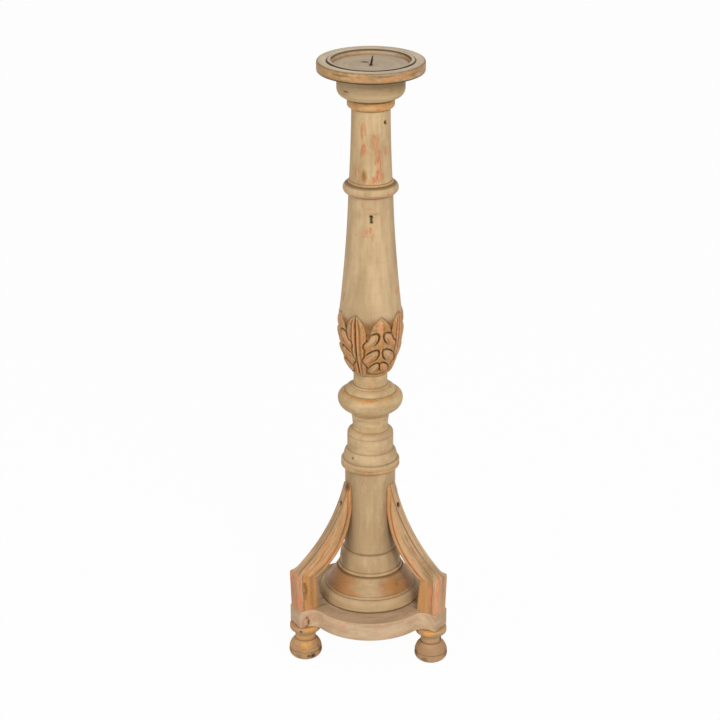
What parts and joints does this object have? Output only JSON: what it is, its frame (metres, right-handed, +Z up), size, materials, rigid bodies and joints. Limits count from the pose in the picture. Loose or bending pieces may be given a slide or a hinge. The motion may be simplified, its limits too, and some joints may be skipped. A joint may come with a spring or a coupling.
{
  "type": "altar candlestick",
  "caption": "Turned and carved wooden pricket candlestick with a drip plate, a leaf-carved shaft and a base on knee-shaped legs with bun feet.",
  "frame": {"origin": "on the column axis at floor level, midway between the bun feet", "axes": "+Z up along the column, -Y towards the front of the pictured side, the third leg points along +Y"},
  "size_m": [0.1942, 0.1964, 0.7468],
  "materials": {
    "plate_paint": "worn grey-beige paint over wood, ochre on the rim",
    "stem_paint": "worn khaki-beige paint with fine brush streaks",
    "leaf_gilt": "carved leaves in ochre and brown wash on a beige shaft",
    "drum_gilt": "ochre-gold wash over wood",
    "base_paint": "worn beige paint",
    "leg_paint": "rubbed ochre and coral undercoat over wood",
    "foot_gilt": "ochre wash, chipped to dark wood",
    "iron": "dark forged iron",
    "bare_wood": "plain turned dowel wood"
  },
  "bodies": {
    "root": {"drip_plate": "plate_paint", "pricket_spike": "iron", "capital": "stem_paint", "upper_shaft": "stem_paint", "leaf_shaft": "leaf_gilt", "knop": "stem_paint", "spool_collar": "stem_paint", "pedestal": "stem_paint", "base_drum": "drum_gilt", "base_plate": "base_paint", "capital_dowel": "bare_wood", "ring_dowel": "bare_wood", "neck_dowel": "bare_wood", "waist_dowel": "bare_wood", "spool_dowel": "bare_wood", "pedestal_dowel": "bare_wood", "leg_left": "leg_paint", "leg_right": "leg_paint", "leg_rear": "leg_paint", "bun_foot_left": "foot_gilt", "bun_foot_right": "foot_gilt", "bun_foot_rear": "foot_gilt", "leg_nails": "iron"}
  },
  "joints": []
}
